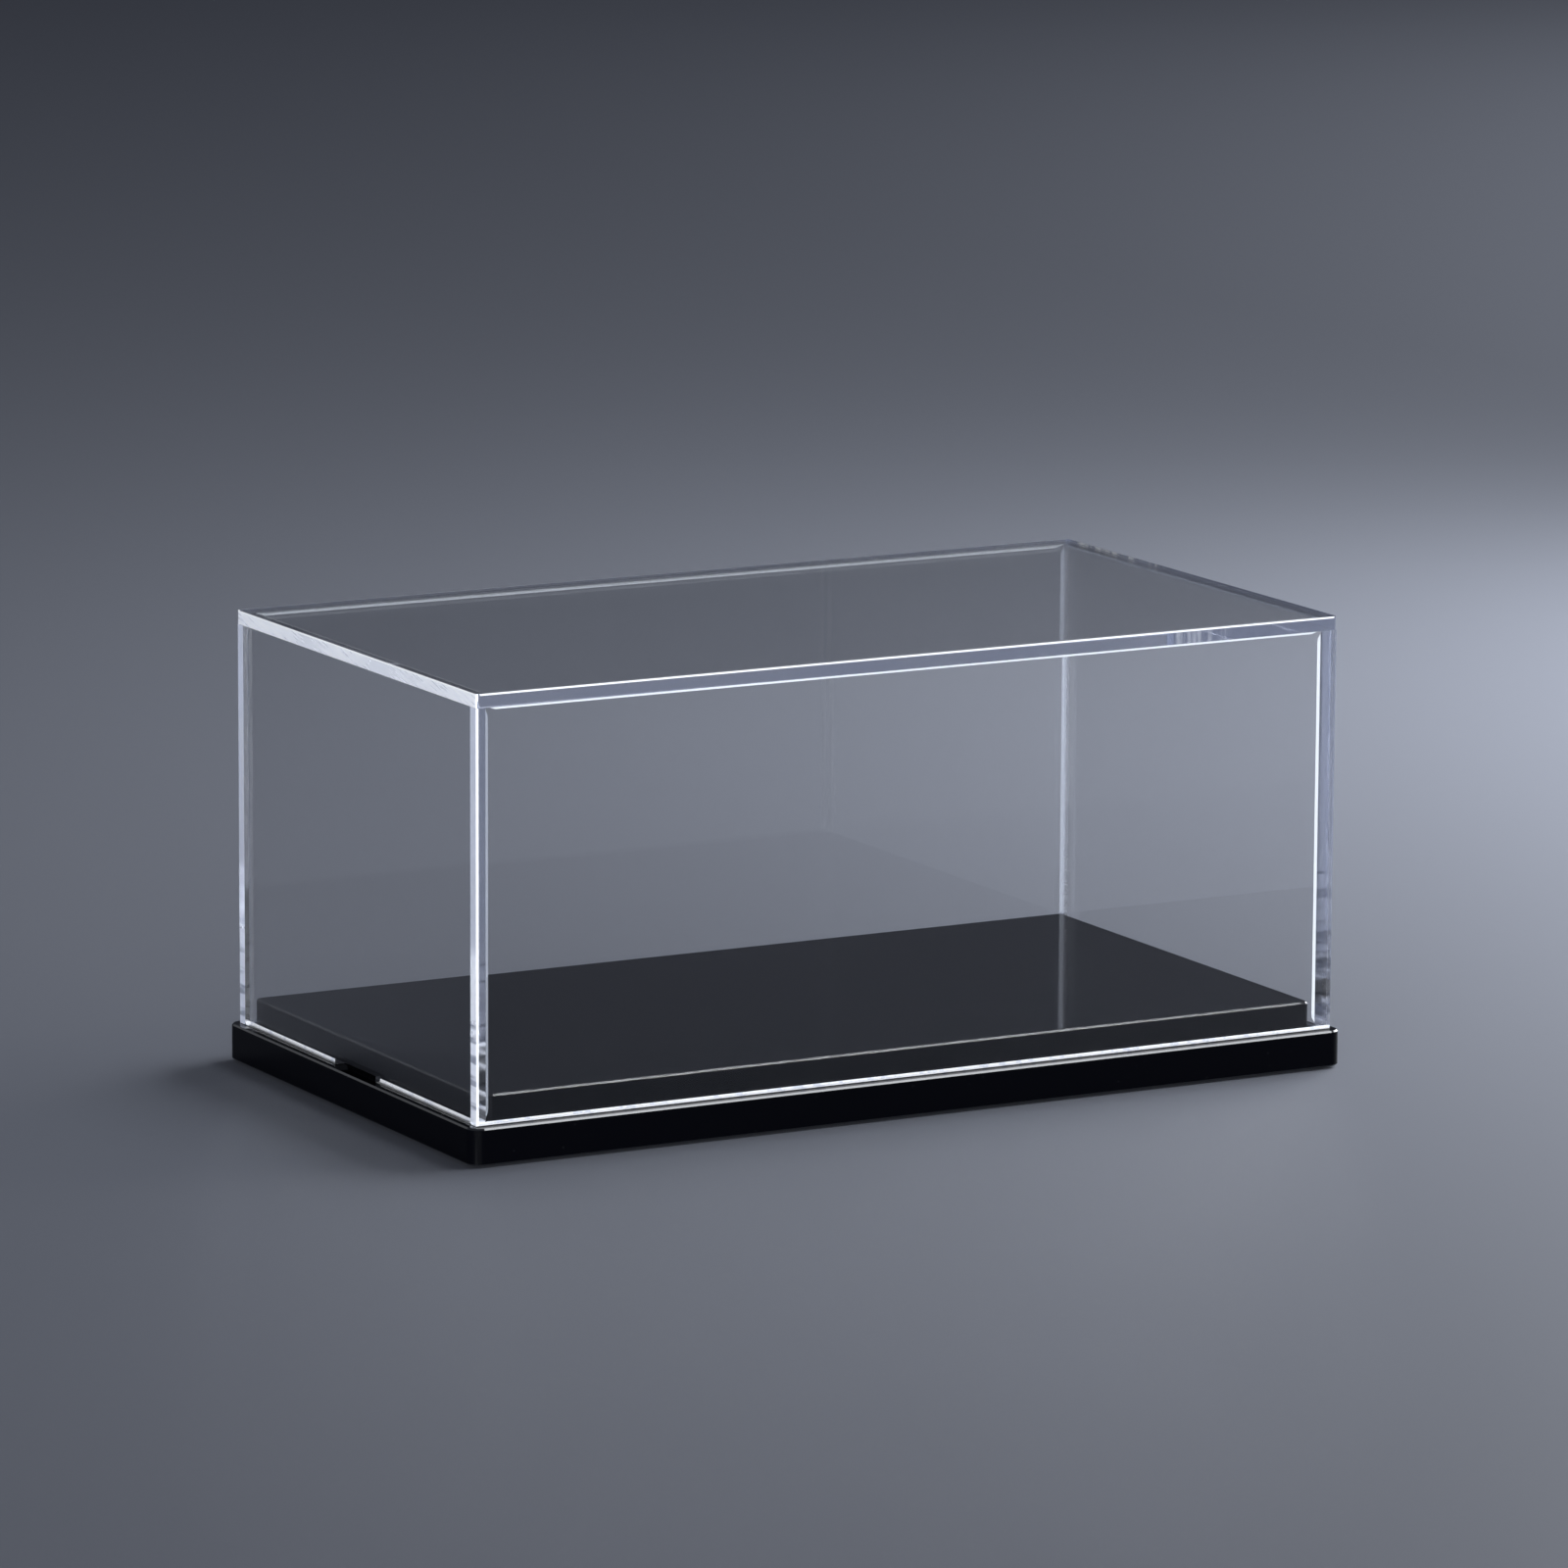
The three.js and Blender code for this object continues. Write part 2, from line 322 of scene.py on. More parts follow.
# the sheets' edges: what they share, then each finish by what was done to the edge
edgeAcrylic = {
    "ior": 1.49,
    "specular": 0.5,
    "lampTint": (0.88, 0.9, 0.93, 1.0),
    "bumpDepth": 0.0002,
}
sawnEnd = {  # the top sheet's left edge, straight from the saw
    "colour": (0.86, 0.885, 0.96, 1.0),
    "paleColour": (0.98, 0.985, 1.0, 1.0),
    "tickColour": (0.5, 0.53, 0.62, 1.0),
    "transmission": 0.22,
    "roughness": 0.25,
    "streakRoughness": 0.25,
    "dryRoughness": 0.1,
    "streakBump": 0.8,
    "bump": 0.08,
}
polishedEdge = {  # front, back and right edges, and the far walls' feet
    "colour": (0.76, 0.81, 1.0, 1.0),
    "paleColour": (0.84, 0.88, 1.0, 1.0),
    "tickColour": (0.5, 0.53, 0.62, 1.0),
    "transmission": 0.92,
    "roughness": 0.02,
    "streakRoughness": 0.05,
    "dryRoughness": 0.0,
    "streakBump": 0.02,
    "bump": 0.01,
}
scrapedEdge = {  # the front and back panels' left ends, and the top sheet's back arris
    "colour": (0.82, 0.855, 0.98, 1.0),
    "paleColour": (0.92, 0.94, 1.0, 1.0),
    "tickColour": (0.2, 0.22, 0.3, 1.0),
    "transmission": 0.6,
    "roughness": 0.08,
    "streakRoughness": 0.12,
    "dryRoughness": 0.2,
    "streakBump": 0.05,
    "bump": 0.06,
}
chatteredEdge = {  # the top sheet's right edge, where the saw chattered near the back
    "colour": (0.12, 0.14, 0.22, 1.0),
    "paleColour": (0.16, 0.18, 0.27, 1.0),
    "tickColour": (1.0, 1.0, 1.0, 1.0),
    "transmission": 0.55,
    "roughness": 0.03,
    "streakRoughness": 0.05,
    "dryRoughness": 0.1,
    "streakBump": 0.02,
    "bump": 0.05,
    "dryWay": (0, 1, 0),
    "dryFrom": 0.016,
    "ticksPerMetre": 380.0,
}
paintedShadeCorner = {  # the top sheet's rounded corner at the back right, painted dark as shade so that it throws no glint into the front edge
    "colour": (0.13, 0.15, 0.22, 1.0),
    "paleColour": (0.17, 0.19, 0.27, 1.0),
    "tickColour": (0.2, 0.22, 0.3, 1.0),
    "transmission": 0.1,
    "specular": 0.2,
    "roughness": 0.4,
    "streakRoughness": 0.1,
    "dryRoughness": 0.1,
    "streakBump": 0.1,
    "bump": 0.05,
}
cementedJoint = {  # faces that meet another sheet, dry near the foot
    "colour": (0.82, 0.86, 1.0, 1.0),
    "paleColour": (0.84, 0.875, 1.0, 1.0),
    "tickColour": (0.15, 0.17, 0.24, 1.0),
    "transmission": 0.97,
    "roughness": 0.03,
    "streakRoughness": 0.02,
    "dryRoughness": 0.06,
    "streakBump": 0.03,
    "bump": 0.02,
    "bumpDepth": 0.0003,
}
sawnFootAndHighlight = {  # the front and left walls' feet: sawn white, which also paints their bright foot line as a highlight
    "colour": (0.97, 0.975, 0.99, 1.0),
    "paleColour": (1.0, 1.0, 1.0, 1.0),
    "tickColour": (0.85, 0.86, 0.9, 1.0),
    "transmission": 0.05,
    "specular": 0.0,
    "roughness": 0.6,
    "streakRoughness": 0.3,
    "dryRoughness": 0.0,
    "streakBump": 0.5,
    "bump": 0.1,
}
paintedShadeSlot = {  # the lift slot's faces, painted near black as shade so that they read as a dark gap against the black plinth
    "colour": (0.012, 0.0125, 0.015, 1.0),
    "paleColour": (0.025, 0.026, 0.03, 1.0),
    "tickColour": (0.01, 0.0105, 0.012, 1.0),
    "transmission": 0.0,
    "specular": 0.0,
    "roughness": 0.6,
    "streakRoughness": 0.2,
    "dryRoughness": 0.1,
    "streakBump": 0.5,
    "bump": 0.1,
}
brokenArrisAndHighlight = {  # the corner taken off the open edges, white, which also paints the bright edge lines as highlights
    "colour": (0.97, 0.975, 1.0, 1.0),
    "paleColour": (1.0, 1.0, 1.0, 1.0),
    "tickColour": (0.75, 0.77, 0.85, 1.0),
    "transmission": 0.05,
    "roughness": 0.3,
    "streakRoughness": 0.2,
    "dryRoughness": 0.1,
    "streakBump": 0.5,
    "bump": 0.05,
    "bumpDepth": 0.0001,
}


def makeSawnAcrylic(name, ownLook):
    look = {**sawing, **edgeAcrylic, **ownLook}
    material, tree, shader = newMaterial(name)
    setInputs(shader, IOR=look["ior"], Specular_IOR_Level=look["specular"])
    setInputs(shader, Transmission_Weight=look["transmission"])
    marks = addNode(tree, "ShaderNodeGroup", node_tree=sawMarks)
    setInputs(marks, Dry_Way=look["dryWay"], Dry_From=look["dryFrom"], Ticks_Per_Metre=look["ticksPerMetre"])
    edgeRun = addNode(tree, "ShaderNodeUVMap", uv_map="edgeRun")
    tree.links.new(edgeRun.outputs["UV"], marks.inputs["Run"])
    tree.links.new(objectPlace(tree), marks.inputs["Place"])
    streaks, ticks, dry = marks.outputs
    rough = mathNode(tree, "MULTIPLY_ADD", streaks, look["streakRoughness"], look["roughness"])
    rough = mathNode(tree, "MULTIPLY_ADD", dry, look["dryRoughness"], rough)
    tree.links.new(rough, shader.inputs["Roughness"])
    tone = addTone(tree, streaks, look["colour"], look["paleColour"])
    tone = addTone(tree, ticks, tone, look["tickColour"])
    tree.links.new(tone, shader.inputs["Base Color"])
    cuts = mathNode(tree, "MULTIPLY_ADD", streaks, look["streakBump"], ticks)
    addBump(tree, cuts, shader, look)
    letLampsThrough(tree, shader, look["lampTint"])
    return material


# cement: white as a painted highlight on the brightest beads, hazy as a fainter painted highlight, clear
# elsewhere
cement = {
    "smearSize": 300.0,
    "smearRoughness": 0.05,
    "scratchRoughness": 0.05,
    "bumpDepth": 0.0002,
    "lampTint": (0.92, 0.93, 0.95, 1.0),
}
# white: a painted highlight along the bead
paintedGlintCement = {
    "colour": (0.94, 0.965, 1.0, 1.0),
    "transmission": 0.03,
    "ior": 1.48,
    "leastRoughness": 0.15,
    "bump": 0.15,
}
# hazy: a fainter painted highlight along the bead
faintGlintCement = {
    "colour": (0.86, 0.89, 0.96, 1.0),
    "transmission": 0.8,
    "ior": 1.15,
    "leastRoughness": 0.1,
    "bump": 0.04,
}
clearCement = {
    "colour": (0.93, 0.95, 1.0, 1.0),
    "transmission": 1.0,
    "ior": 1.08,
    "leastRoughness": 0.02,
    "bump": 0.03,
}


def makeCement(name, ownLook):
    look = {**cement, **ownLook}
    material, tree, shader = newMaterial(name)
    setInputs(shader, Base_Color=look["colour"], IOR=look["ior"], Transmission_Weight=look["transmission"])
    marks = addHandling(tree, shader, look)
    addBump(tree, marks["Height"], shader, look)
    letLampsThrough(tree, shader, look["lampTint"])
    return material


# black acrylic: what the slabs' surfaces share, then each of them
blackAcrylic = {
    "ior": 1.49,
    "smearSize": 22.0,
    "smearRoughness": 0.05,
    "scratchRoughness": 0.1,
    "bump": 0.004,
    "bumpDepth": 0.0001,
}
blackGloss = {  # polished faces
    "colour": (0.002, 0.0022, 0.0036, 1.0),
    "speckColour": (0.007, 0.0074, 0.0095, 1.0),
    "specular": 0.16,
    "leastRoughness": 0.05,
}
shadedBlackSide = {  # sides: a darker, less glossy copy of the faces, painted shade that keeps the lamps' reflection off them
    "colour": (0.0012, 0.0013, 0.0022, 1.0),
    "speckColour": (0.004, 0.0042, 0.0055, 1.0),
    "specular": 0.05,
    "leastRoughness": 0.2,
}
highlightBlackEdge = {  # chamfered edges, lighter and glossier than the faces as a painted highlight along them
    "colour": (0.01, 0.0105, 0.0125, 1.0),
    "speckColour": (0.03, 0.031, 0.036, 1.0),
    "specular": 0.8,
    "leastRoughness": 0.1,
    "smearRoughness": 0.04,
    "scratchRoughness": 0.08,
}
padSilicone = {
    "colour": (0.022, 0.023, 0.025, 1.0),
    "speckColour": (0.07, 0.07, 0.072, 1.0),  # dust
    "ior": 1.5,
    "specular": 0.35,
    "smearSize": 300.0,
    "leastRoughness": 0.6,
    "smearRoughness": 0.25,
    "scratchRoughness": 0.1,
    "bump": 0.3,
    "bumpDepth": 0.0002,
}


def makeSpeckled(name, look):
    material, tree, shader = newMaterial(name)
    setInputs(shader, IOR=look["ior"], Specular_IOR_Level=look["specular"])
    marks = addHandling(tree, shader, look)
    tone = addTone(tree, marks["Specks"], look["colour"], look["speckColour"])
    tree.links.new(tone, shader.inputs["Base Color"])
    addBump(tree, marks["Height"], shader, look)
    return material


screwSteel = {
    "colour": (0.62, 0.64, 0.66, 1.0),
    "metallic": 1.0,
    "smearSize": 1200.0,
    "leastRoughness": 0.25,
    "smearRoughness": 0.15,
    "scratchRoughness": 0.2,
    "bump": 0.1,
    "bumpDepth": 0.00005,
}


def makeScrewSteel(look):
    material, tree, shader = newMaterial("screwSteel")
    setInputs(shader, Base_Color=look["colour"], Metallic=look["metallic"])
    marks = addHandling(tree, shader, look)
    addBump(tree, marks["Height"], shader, look)
    return material


clearMaterial = makeClearSheet(clearSheet)
sawnMaterial = makeSawnAcrylic("sawnEnd", sawnEnd)
arrisMaterial = makeSawnAcrylic("brokenArrisAndHighlight", brokenArrisAndHighlight)
footMaterial = makeSawnAcrylic("sawnFootAndHighlight", sawnFootAndHighlight)
polishedMaterial = makeSawnAcrylic("polishedEdge", polishedEdge)
scrapedMaterial = makeSawnAcrylic("scrapedEdge", scrapedEdge)
chatteredMaterial = makeSawnAcrylic("chatteredEdge", chatteredEdge)
paintedShadeCornerMaterial = makeSawnAcrylic("paintedShadeCorner", paintedShadeCorner)
paintedShadeSlotMaterial = makeSawnAcrylic("paintedShadeSlot", paintedShadeSlot)
jointMaterial = makeSawnAcrylic("cementedJoint", cementedJoint)
paintedGlintMaterial = makeCement("paintedGlintCement", paintedGlintCement)
faintGlintMaterial = makeCement("faintGlintCement", faintGlintCement)
cementMaterial = makeCement("clearCement", clearCement)
blackMaterial = makeSpeckled("blackGloss", {**blackAcrylic, **blackGloss})
shadedBlackSideMaterial = makeSpeckled("shadedBlackSide", {**blackAcrylic, **shadedBlackSide})
highlightBlackEdgeMaterial = makeSpeckled("highlightBlackEdge", {**blackAcrylic, **highlightBlackEdge})
siliconeMaterial = makeSpeckled("padSilicone", padSilicone)
steelMaterial = makeScrewSteel(screwSteel)
print("materials made")


# piece helpers
def addPiece(name, mesh, body, node):
    piece = bpy.data.objects.new(name, mesh)
    scene.collection.objects.link(piece)
    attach(piece, body)
    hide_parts(node)


# a plain mesh of what a piece's modifiers make
def plainMesh(name, piece):
    seen = piece.evaluated_get(bpy.context.evaluated_depsgraph_get())
    mesh = bpy.data.meshes.new_from_object(seen)
    mesh.name = name
    bpy.data.objects.remove(piece)
    return mesh


def grownMesh(name, tree, values, sharpAngle):
    piece = bpy.data.objects.new(name, bpy.data.meshes.new(name))
    scene.collection.objects.link(piece)
    modifier = piece.modifiers.new("grow", "NODES")
    modifier.node_group = tree
    for item in tree.interface.items_tree:
        if item.in_out == "INPUT":
            modifier[item.identifier] = values[item.name]
    mesh = plainMesh(name, piece)
    smoothShade(mesh, sharpAngle)
    return mesh


def smoothShade(mesh, sharpAngle):
    mesh.shade_smooth()
    mesh.set_sharp_from_angle(angle=math.radians(sharpAngle))


def camelName(node):
    first, *others = node.split("_")
    return first + "".join(word.capitalize() for word in others)


# how every grown piece ends
def dressGrown(tree, geometry, material, result):
    realized = addNode(tree, "GeometryNodeRealizeInstances")
    tree.links.new(geometry, realized.inputs[0])
    dressed = addNode(tree, "GeometryNodeSetMaterial")
    tree.links.new(realized.outputs[0], dressed.inputs["Geometry"])
    tree.links.new(material, dressed.inputs["Material"])
    tree.links.new(dressed.outputs[0], result)


# clear sheets: polished faces, each edge with its own finish, and a broken arris where an edge is open
sheets = {
    "arris": 0.0004,
    "endFootArris": 0.0007,  # along the inside of the end walls' feet
    "longFootArris": 0.00045,  # and of the long walls'
    "arrisSteps": 2,
    "arrisProfile": 0.5,  # round
    "topCorner": 0.0008,
    "cornerSteps": 6,
    "slotLength": 0.0198,
    "slotDepth": 0.0013,
    "touching": 0.00001,
    "sharpAngle": 40.0,
    "alongLimit": 0.9,
    "sideLimit": 0.7,
    "cornerLimit": 0.1,
    "awayLimit": 0.3,
}
sheetMaterials = (
    clearMaterial, sawnMaterial, arrisMaterial, footMaterial, polishedMaterial,
    scrapedMaterial, chatteredMaterial, jointMaterial, paintedShadeSlotMaterial, paintedShadeCornerMaterial,
)


# how many of the cover's own outer planes a point lies in
def planesMet(point, cover):
    return sum(abs(point[i] - side[i]) < sheets["touching"] for i in range(3) for side in cover)


# walls on the front and left have their foot white, which also paints the bright foot line as a highlight,
# the far ones are polished there
def isFar(face, through):
    return through.dot(face.calc_center_median()) > 0


def finishOf(face, through, cover):
    normal = face.normal
    if abs(normal.dot(through)) > sheets["alongLimit"]:
        return clearMaterial
    if normal.z < -sheets["alongLimit"]:
        return polishedMaterial if isFar(face, through) else footMaterial
    if through.z == 0 and planesMet(face.calc_center_median(), cover) == 0:
        return jointMaterial
    # the top sheet's back right corner gets the painted shade in place of its glint
    if through.z and min(normal.x, normal.y) > sheets["cornerLimit"]:
        return paintedShadeCornerMaterial
    if through.z and normal.x > sheets["sideLimit"]:
        return chatteredMaterial
    if normal.x > -sheets["sideLimit"]:
        return polishedMaterial
    return sawnMaterial if through.z else scrapedMaterial


# arrises on the right and at the back get clear finishes, so that only the near ones carry the white painted
# highlight
def arrisFinish(face, through):
    away = max(face.normal.x, face.normal.y) > sheets["awayLimit"]
    if face.normal.z < -sheets["awayLimit"]:
        away = isFar(face, through)
    if not away:
        return arrisMaterial
    if through.z == 0:
        return polishedMaterial
    return chatteredMaterial if face.normal.x > face.normal.y else scrapedMaterial


# how many outer planes an open edge lies in: 2 or more at the cover's outside, 1 inside its foot
def openness(edge, cover):
    if edge.calc_face_angle() < math.radians(sheets["sharpAngle"]):
        return 0
    middle = middleOf(edge)
    atFoot = abs(middle.z - cover[0].z) < sheets["touching"]
    met = planesMet(middle, cover)
    return met if atFoot or met > 1 else 0


def middleOf(edge):
    return (edge.verts[0].co + edge.verts[1].co) / 2


# the lift slot's own faces keep their sharp corners
def inSlot(point, axes, foot):
    across, up, through = axes
    reach = sheets["slotLength"] / 2 + sheets["arris"]
    return abs(point.dot(across)) < reach and point.dot(up) < foot + sheets["slotDepth"] + sheets["arris"]


def breakArris(bm, edges, offset):
    bmesh.ops.bevel(
        bm, geom=edges, offset=offset, offset_type="OFFSET", segments=sheets["arrisSteps"],
        profile=sheets["arrisProfile"], affect="EDGES", material=sheetMaterials.index(arrisMaterial),
    )


# coordinates in metres: along an edge and through the sheet
def layEdgeRun(bm, axes):
    across, up, through = axes
    layer = bm.loops.layers.uv.new("edgeRun")
    for face in bm.faces:
        level = abs(face.normal.dot(up)) > abs(face.normal.dot(across))
        run = across if level else up
        for loop in face.loops:
            loop[layer].uv = (loop.vert.co.dot(run), loop.vert.co.dot(through))


def extrudeOutline(bm, outline, axes, start, thickness):
    across, up, through = axes
    face = bm.faces.new([bm.verts.new(across * x + up * y + through * start) for x, y in outline])
    made = bmesh.ops.extrude_face_region(bm, geom=[face])
    far = [v for v in made["geom"] if isinstance(v, bmesh.types.BMVert)]
    bmesh.ops.translate(bm, verts=far, vec=through * thickness)
    bmesh.ops.recalc_face_normals(bm, faces=bm.faces)


def sheetMesh(name, outline, axes, start, thickness, cover, slotted):
    through = axes[2]  # the way through the sheet, after its two plane directions
    foot = min(y for x, y in outline)
    bm = bmesh.new()
    extrudeOutline(bm, outline, axes, start, thickness)
    for face in bm.faces:
        face.material_index = sheetMaterials.index(finishOf(face, through, cover))
    opened = [e for e in bm.edges if openness(e, cover)]
    if slotted:
        opened = [e for e in opened if not inSlot(middleOf(e), axes, foot)]
    inner = [e for e in opened if openness(e, cover) == 1]
    outer = [e for e in opened if e not in inner]
    breakArris(bm, inner, sheets["endFootArris" if through.x else "longFootArris"])
    breakArris(bm, [e for e in outer if e.is_valid], sheets["arris"])
    bmesh.ops.recalc_face_normals(bm, faces=bm.faces)
    layEdgeRun(bm, axes)
    for face in bm.faces:
        if sheetMaterials[face.material_index] is arrisMaterial:
            face.material_index = sheetMaterials.index(arrisFinish(face, through))
        # the slot's own faces get the painted shade finish
        if slotted and face.material_index > 0 and inSlot(face.calc_center_median(), axes, foot):
            face.material_index = sheetMaterials.index(paintedShadeSlotMaterial)
    mesh = bpy.data.meshes.new(name)
    bm.to_mesh(mesh)
    bm.free()
    for material in sheetMaterials:
        mesh.materials.append(material)
    return mesh


def rectangleOutline(lowX, lowY, highX, highY):
    return [(lowX, lowY), (highX, lowY), (highX, highY), (lowX, highY)]


def roundedOutline(lowX, lowY, highX, highY, radius, steps):
    points = []
    for turn, (x, y) in enumerate([(highX, highY), (lowX, highY), (lowX, lowY), (highX, lowY)]):
        inX = x - math.copysign(radius, x)
        inY = y - math.copysign(radius, y)
        for step in range(steps + 1):
            angle = (turn + step / steps) * math.pi / 2
            points.append((inX + radius * math.cos(angle), inY + radius * math.sin(angle)))
    return points


def slottedOutline(lowX, lowY, highX, highY, length, depth):
    half = length / 2
    return [
        (lowX, lowY), (-half, lowY), (-half, lowY + depth), (half, lowY + depth),
        (half, lowY), (highX, lowY), (highX, highY), (lowX, highY),
    ]


def addSheet(side, outline, axes, cover, slotted=False):
    node = side + "_panel"
    low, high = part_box(node)
    start = low.dot(axes[2])
    thickness = high.dot(axes[2]) - start
    mesh = sheetMesh(side + "Sheet", outline, axes, start, thickness, cover, slotted)
    addPiece(side + "Sheet", mesh, "cover", node)


def makeSheets(look):
    low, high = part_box("top_panel")
    cover = (Vector((low.x, low.y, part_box("front_panel")[0].z)), high)
    outline = roundedOutline(low.x, low.y, high.x, high.y, look["topCorner"], look["cornerSteps"])
    addSheet("top", outline, (xAxis, yAxis, zAxis), cover)
    for side in ("front", "back"):
        low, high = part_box(side + "_panel")
        outline = rectangleOutline(low.x, low.z, high.x, high.z)
        addSheet(side, outline, (xAxis, zAxis, yAxis), cover)
    for side in ("left", "right"):
        low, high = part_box(side + "_panel")
        outline = slottedOutline(low.y, low.z, high.y, high.z, look["slotLength"], look["slotDepth"])
        addSheet(side, outline, (yAxis, zAxis, xAxis), cover, slotted=True)


makeSheets(sheets)
print("clear sheets made")


# cement beads: a hollow fillet that swells and thins along each inside corner, with rounded ends
beads = {
    "profileSteps": 9,
    "stations": 90,
    "wobble": 0.05,
    "swellsPerMetre": 45.0,
    "swellDetail": 2.0,
    "roundedEnd": 0.0012,
    "leastScale": 0.12,
    "sharpAngle": 50.0,
    "seedStep": 7.3,
}
# each bead: the two ways out of its corner into the case, its cement, which sets how bright its painted
# highlight is, and its share of the corner's room
beadPlaces = {
    "top_front_bead": {"ways": (yAxis, -zAxis), "cement": paintedGlintMaterial, "share": 0.9},
    "top_back_bead": {"ways": (-yAxis, -zAxis), "cement": paintedGlintMaterial, "share": 0.9},
    "top_left_bead": {"ways": (xAxis, -zAxis), "cement": paintedGlintMaterial, "share": 0.4},
    "top_right_bead": {"ways": (-xAxis, -zAxis), "cement": faintGlintMaterial, "share": 0.5},
    "front_left_bead": {"ways": (xAxis, yAxis), "cement": faintGlintMaterial, "share": 0.6},
    "front_right_bead": {"ways": (-xAxis, yAxis), "cement": paintedGlintMaterial, "share": 0.9},
    "back_left_bead": {"ways": (xAxis, -yAxis), "cement": cementMaterial, "share": 0.4},
    "back_right_bead": {"ways": (-xAxis, -yAxis), "cement": faintGlintMaterial, "share": 0.9},
}


def makeBeadTree(look):
    tree, given, result = newTree(
        "cementBead", "GeometryNodeTree",
        [
            ("Start", "Vector", (0, 0, 0)),
            ("End", "Vector", (0, 0, 1)),
            ("First Way", "Vector", (1, 0, 0)),
            ("Leg", "Float", 0.001),
            ("Seed", "Float", 0.0),
            ("Material", "Material", None),
        ],
        [("Geometry", "Geometry")],
    )
    links = tree.links
    # section: the corner point, then points on the hollow arc
    line = addNode(tree, "GeometryNodeCurvePrimitiveLine")
    section = setInputs(addNode(tree, "GeometryNodeResampleCurve"), Count=look["profileSteps"])
    links.new(line.outputs[0], section.inputs["Curve"])
    index = addNode(tree, "GeometryNodeInputIndex").outputs[0]
    share = mathNode(tree, "DIVIDE", mathNode(tree, "SUBTRACT", index, 1.0), look["profileSteps"] - 2.0)
    angle = mathNode(tree, "MULTIPLY", share, math.pi / 2)
    leg = mathNode(tree, "MULTIPLY", given["Leg"], mathNode(tree, "GREATER_THAN", index, 0.5))
    reach = []
    for wave in ("SINE", "COSINE"):
        inward = mathNode(tree, "SUBTRACT", 1.0, mathNode(tree, wave, angle))
        reach.append(mathNode(tree, "MULTIPLY", inward, leg))
    shaped = addNode(tree, "GeometryNodeSetPosition")
    links.new(section.outputs[0], shaped.inputs["Geometry"])
    links.new(spotNode(tree, *reach), shaped.inputs["Position"])
    closed = setInputs(addNode(tree, "GeometryNodeSetSplineCyclic"), Cyclic=True)
    links.new(shaped.outputs[0], closed.inputs["Geometry"])
    # run: along the corner, its scale falling at both ends and wandering between
    path = addNode(tree, "GeometryNodeCurvePrimitiveLine")
    links.new(given["Start"], path.inputs["Start"])
    links.new(given["End"], path.inputs["End"])
    run = setInputs(addNode(tree, "GeometryNodeResampleCurve"), Count=look["stations"])
    links.new(path.outputs[0], run.inputs["Curve"])
    facing = addNode(tree, "GeometryNodeSetCurveNormal", mode="FREE")
    links.new(run.outputs[0], facing.inputs["Curve"])
    links.new(given["First Way"], facing.inputs["Normal"])
    along = addNode(tree, "GeometryNodeSplineParameter").outputs["Length"]
    whole = addNode(tree, "GeometryNodeSplineLength").outputs["Length"]
    nearest = mathNode(tree, "MINIMUM", along, mathNode(tree, "SUBTRACT", whole, along))
    ending = mathNode(tree, "SQRT", rangeNode(tree, nearest, 0.0, look["roundedEnd"]))
    wander = addNode(tree, "ShaderNodeTexNoise", noise_dimensions="2D")
    setInputs(wander, Scale=look["swellsPerMetre"], Detail=look["swellDetail"])
    links.new(spotNode(tree, along, given["Seed"]), wander.inputs["Vector"])
    thinning = mathNode(tree, "MULTIPLY", wander.outputs["Fac"], look["wobble"])
    swell = mathNode(tree, "SUBTRACT", 1.0, thinning)
    scale = mathNode(tree, "MAXIMUM", mathNode(tree, "MULTIPLY", swell, ending), look["leastScale"])
    swept = setInputs(addNode(tree, "GeometryNodeCurveToMesh"), Fill_Caps=True)
    links.new(facing.outputs[0], swept.inputs["Curve"])
    links.new(closed.outputs[0], swept.inputs["Profile Curve"])
    links.new(scale, swept.inputs["Scale"])
    dressGrown(tree, swept.outputs[0], given["Material"], result["Geometry"])
    return tree


# both ends of the corner that a bead lies in
def beadEnds(low, high, first, second):
    along = first.cross(second)
    ends = []
    for sign in (-1, 1):
        way = first + second - along * sign
        ends.append(Vector([low[i] if way[i] > 0 else high[i] for i in range(3)]))
    return ends


def makeBeads(look):
    tree = makeBeadTree(look)
    for number, (node, place) in enumerate(beadPlaces.items()):
        low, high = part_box(node)
        first, second = place["ways"]
        start, end = beadEnds(low, high, first, second)
        values = {
            "Start": start,
            "End": end,
            "First Way": first,
            "Leg": abs((high - low).dot(first)) * place["share"],
            "Seed": number * look["seedStep"],
            "Material": place["cement"],
        }
        name = camelName(node)
        addPiece(name, grownMesh(name, tree, values, look["sharpAngle"]), "cover", node)


makeBeads(beads)
print("cement beads made")


# black slabs: the solids' own shape, with chamfers lighter as a painted highlight and sides darker as
# painted shade
slabs = {
    "mergeDistance": 0.000001,
    "flatAngle": 0.5,
    "sharpAngle": 34.0,
    "sideSlope": 0.05,  # upright below this share of the normal's height
    "faceSlope": 0.97,  # level above this one
    "normalWeight": 100,
}
slabMaterials = (blackMaterial, shadedBlackSideMaterial, highlightBlackEdgeMaterial)


def slabFinish(face, look):
    slope = abs(face.normal.z)
    if slope < look["sideSlope"]:
        return shadedBlackSideMaterial
    return highlightBlackEdgeMaterial if slope < look["faceSlope"] else blackMaterial


